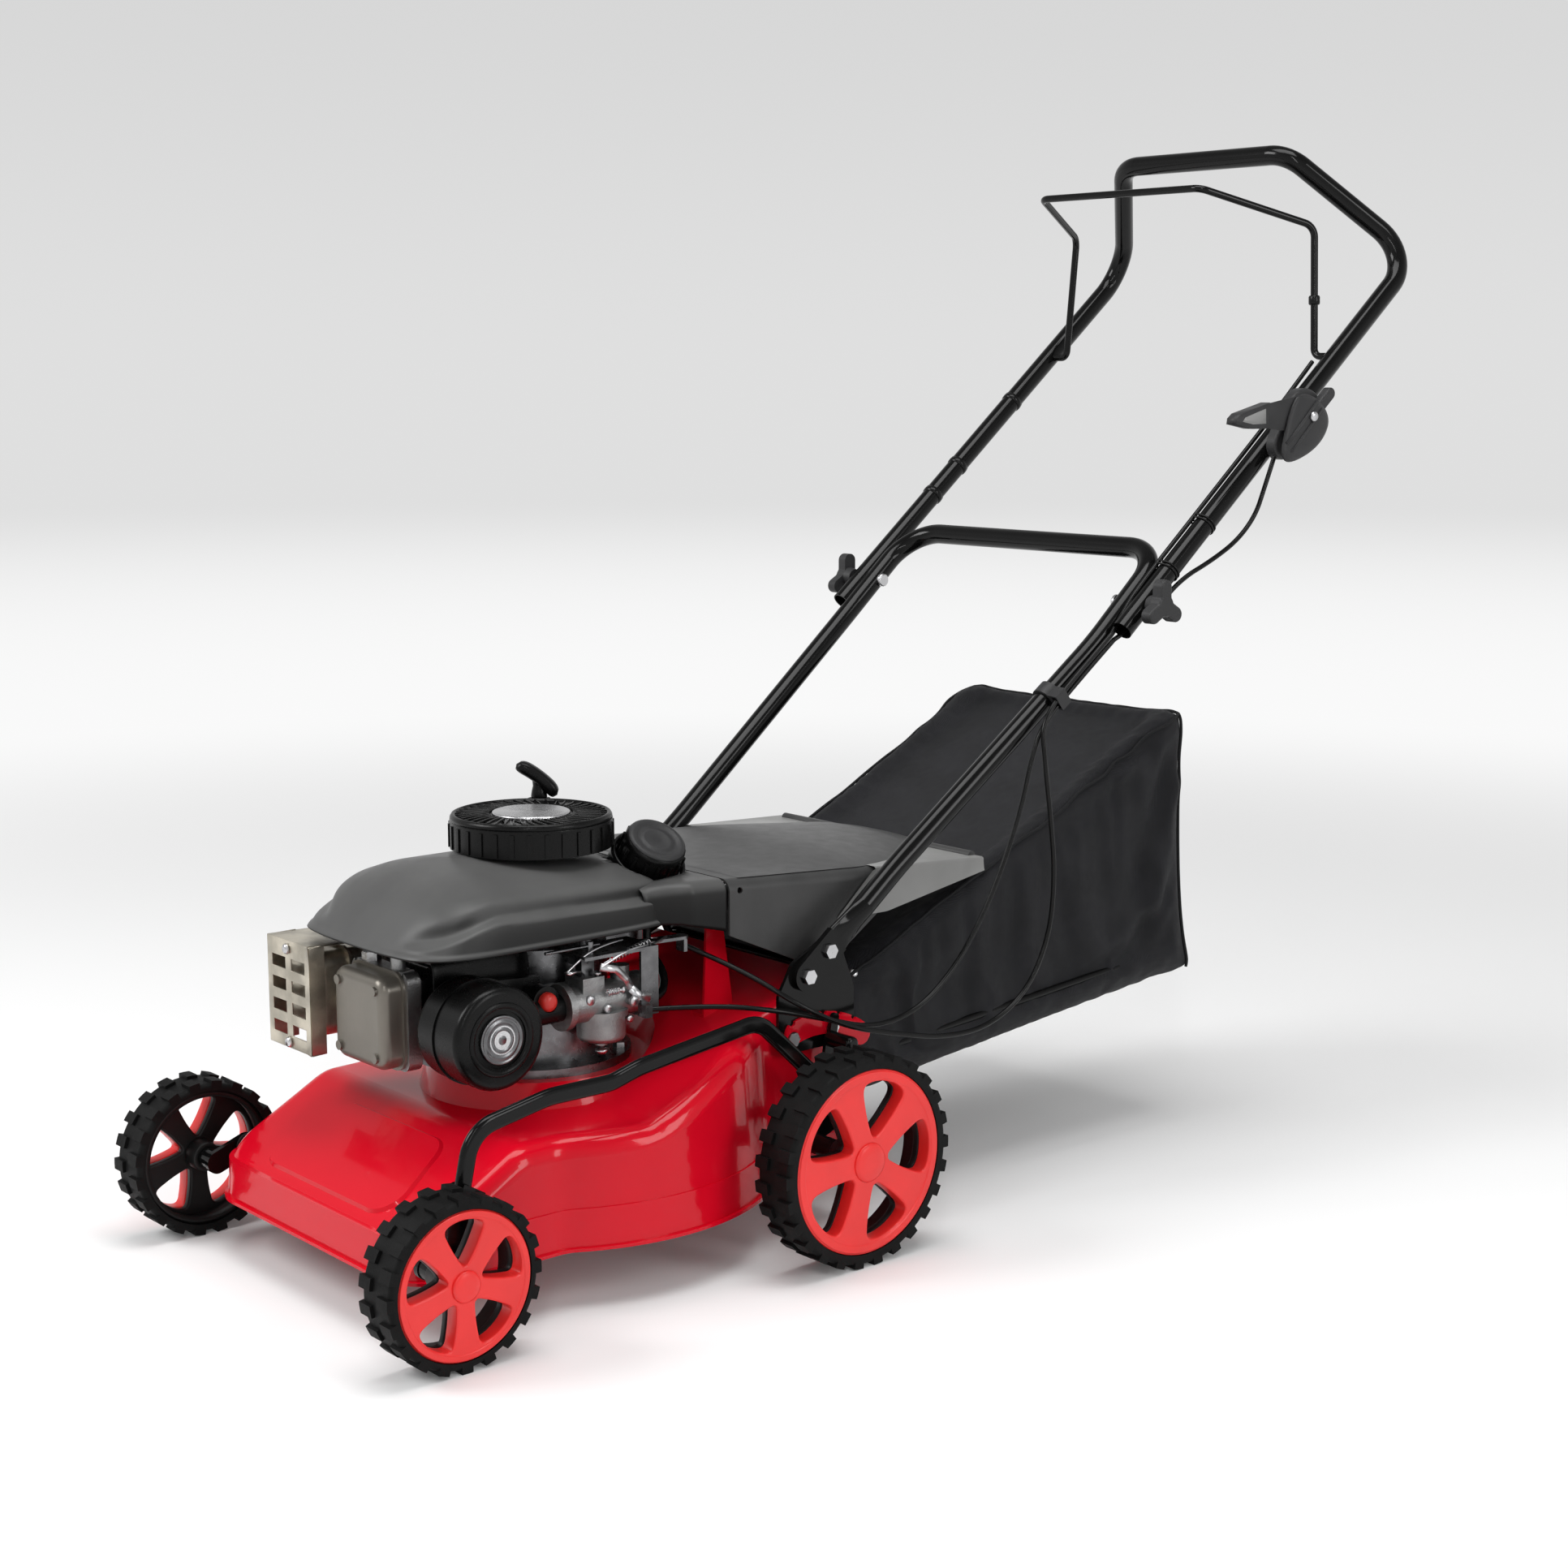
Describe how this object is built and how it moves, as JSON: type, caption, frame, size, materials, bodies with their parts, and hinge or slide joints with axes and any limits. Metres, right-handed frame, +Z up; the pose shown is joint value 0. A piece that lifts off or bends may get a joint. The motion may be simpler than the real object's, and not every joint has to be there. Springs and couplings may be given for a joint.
{
  "type": "push lawn mower",
  "caption": "Petrol push lawn mower with red pressed deck, black engine shroud, folding tube handle with stop bar, rear flap and fabric grass bag",
  "frame": {"origin": "on the ground under the middle of the overall length and width", "axes": "+Z up, front faces -Y, +X is the mower's left side"},
  "size_m": [0.5676, 1.367, 1.074],
  "materials": {
    "deck_paint": "gloss",
    "cover_red": "gloss",
    "tyre": "matte",
    "core_black": "satin",
    "black_paint": "gloss",
    "bush": "matte",
    "steel": "brushed",
    "cast_alloy": "cast",
    "rocker_paint": "satin",
    "muffler_steel": "satin",
    "engine_plastic": "matte",
    "silver": "satin",
    "rope": "woven",
    "primer_red": "satin",
    "rubber": "satin",
    "grey_plastic": "matte",
    "flap_plastic": "matte",
    "bag_cloth": "woven"
  },
  "bodies": {
    "deck": {"deck_shell": "deck_paint", "axle_bushes": "bush", "height_quadrant": "deck_paint", "handle_brackets": "black_paint", "lower_handle": "black_paint", "bolts": "steel", "cable_clip": "grey_plastic", "engine_block": "cast_alloy", "cylinder_head": "cast_alloy", "spark_plug": "steel", "rocker_cover": "rocker_paint", "muffler": "muffler_steel", "muffler_guard": "muffler_steel", "engine_shroud": "engine_plastic", "starter_housing": "engine_plastic", "silver_discs": "silver", "fuel_tank": "engine_plastic", "air_filter_base": "engine_plastic", "air_filter_cover": "engine_plastic", "carburettor": "cast_alloy", "control_bracket": "steel", "fuel_hose": "rubber", "throttle_cable": "rubber", "brake_cable": "rubber", "flap_hinge": "steel"},
    "front_axle": {"front_axle": "black_paint"},
    "rear_axle": {"rear_axle": "black_paint", "height_lever": "black_paint"},
    "height_link": {"height_link": "black_paint"},
    "rotor": {"crankshaft": "steel", "flywheel": "cast_alloy", "blade": "black_paint", "blade_clamp": "steel"},
    "starter_pulley": {"starter_pulley": "engine_plastic"},
    "starter_grip": {"starter_grip": "engine_plastic", "starter_rope": "rope"},
    "fuel_cap": {"fuel_cap": "engine_plastic"},
    "primer_bulb": {"primer_bulb": "primer_red"},
    "upper_handle": {"upper_handle": "black_paint", "throttle_housing": "grey_plastic", "handle_cables": "rubber"},
    "throttle_lever": {"throttle_lever": "grey_plastic"},
    "bail": {"bail": "black_paint"},
    "knob_left": {"wing_knob_left": "grey_plastic"},
    "knob_right": {"wing_knob_right": "grey_plastic"},
    "flap": {"rear_flap": "flap_plastic"},
    "bag": {"grass_bag": "bag_cloth", "bag_frame": "black_paint"},
    "wheel_front_left": {"tyre_front_left": "tyre", "wheel_core_front_left": "core_black", "wheel_cover_front_left": "cover_red"},
    "wheel_front_right": {"tyre_front_right": "tyre", "wheel_core_front_right": "core_black", "wheel_cover_front_right": "cover_red"},
    "wheel_rear_left": {"tyre_rear_left": "tyre", "wheel_core_rear_left": "core_black", "wheel_cover_rear_left": "cover_red"},
    "wheel_rear_right": {"tyre_rear_right": "tyre", "wheel_core_rear_right": "core_black", "wheel_cover_rear_right": "cover_red"}
  },
  "joints": [
    {"name": "rear_axle_turn", "type": "hinge", "parent": "deck", "child": "rear_axle", "pos_m": [0, -0.1582, 0.1134], "axis": [1, 0, 0], "range_deg": [-25, 25]},
    {"name": "front_axle_turn", "type": "hinge", "parent": "deck", "child": "front_axle", "pos_m": [0, -0.581, 0.088], "axis": [1, 0, 0], "range_deg": [-25, 25]},
    {"name": "height_link_turn", "type": "hinge", "parent": "rear_axle", "child": "height_link", "pos_m": [0.1933, -0.1582, 0.1584], "axis": [1, 0, 0], "range_deg": [-25, 25]},
    {"name": "wheel_front_left_roll", "type": "hinge", "parent": "front_axle", "child": "wheel_front_left", "pos_m": [0.2466, -0.6124, 0.0762], "axis": [1, 0, 0], "continuous": true},
    {"name": "wheel_front_right_roll", "type": "hinge", "parent": "front_axle", "child": "wheel_front_right", "pos_m": [-0.2466, -0.6124, 0.0762], "axis": [1, 0, 0], "continuous": true},
    {"name": "wheel_rear_left_roll", "type": "hinge", "parent": "rear_axle", "child": "wheel_rear_left", "pos_m": [0.2798, -0.1896, 0.1016], "axis": [1, 0, 0], "continuous": true},
    {"name": "wheel_rear_right_roll", "type": "hinge", "parent": "rear_axle", "child": "wheel_rear_right", "pos_m": [-0.2798, -0.1896, 0.1016], "axis": [1, 0, 0], "continuous": true},
    {"name": "rotor_turn", "type": "hinge", "parent": "deck", "child": "rotor", "pos_m": [0, -0.369, 0.09], "axis": [0, 0, 1], "continuous": true},
    {"name": "starter_pulley_turn", "type": "hinge", "parent": "deck", "child": "starter_pulley", "pos_m": [0, -0.369, 0.392], "axis": [0, 0, 1], "range_deg": [0, 300], "stiffness_Nm_per_rad": 0.02},
    {"name": "starter_pull", "type": "slide", "parent": "deck", "child": "starter_grip", "axis": [0, 0, 1], "range_m": [0, 0.21], "deforming": ["starter_rope"]},
    {"name": "fuel_cap_turn", "type": "hinge", "parent": "deck", "child": "fuel_cap", "pos_m": [0.08, -0.281, 0.388], "axis": [0.5736, 0, 0.8192], "range_deg": [0, 90]},
    {"name": "primer_push", "type": "slide", "parent": "deck", "child": "primer_bulb", "axis": [-1, 0, 0], "range_m": [0, 0.005], "stiffness_N_per_m": 600},
    {"name": "handle_fold", "type": "hinge", "parent": "deck", "child": "upper_handle", "pos_m": [0, 0.247, 0.58917], "axis": [1, 0, 0], "range_deg": [0, 110]},
    {"name": "throttle_turn", "type": "hinge", "parent": "upper_handle", "child": "throttle_lever", "pos_m": [0.24, 0.475, 0.77645], "axis": [1, 0, 0], "range_deg": [-25, 25]},
    {"name": "bail_close", "type": "hinge", "parent": "upper_handle", "child": "bail", "pos_m": [0, 0.554, 0.84134], "axis": [-1, 0, 0], "range_deg": [0, 33], "stiffness_Nm_per_rad": 0.6, "springref_deg": -22.92},
    {"name": "knob_left_turn", "type": "hinge", "parent": "deck", "child": "knob_left", "pos_m": [0.236, 0.247, 0.58917], "axis": [1, 0, 0], "range_deg": [0, 360]},
    {"name": "knob_right_turn", "type": "hinge", "parent": "deck", "child": "knob_right", "pos_m": [-0.236, 0.247, 0.58917], "axis": [-1, 0, 0], "range_deg": [0, 360]},
    {"name": "flap_open", "type": "hinge", "parent": "deck", "child": "flap", "pos_m": [0, -0.229, 0.342], "axis": [1, 0, 0], "range_deg": [0, 65], "stiffness_Nm_per_rad": 0.25, "springref_deg": -17.19},
    {"name": "bag_lift", "type": "slide", "parent": "deck", "child": "bag", "axis": [0, 0.9063, 0.4226], "range_m": [0, 0.14]}
  ],
  "couplings": [
    {"joint": "front_axle_turn", "follows": "rear_axle_turn", "ratio": 1},
    {"joint": "height_link_turn", "follows": "rear_axle_turn", "ratio": -1},
    {"joint": "starter_pull", "follows": "starter_pulley_turn", "m_per_rad": 0.04}
  ]
}
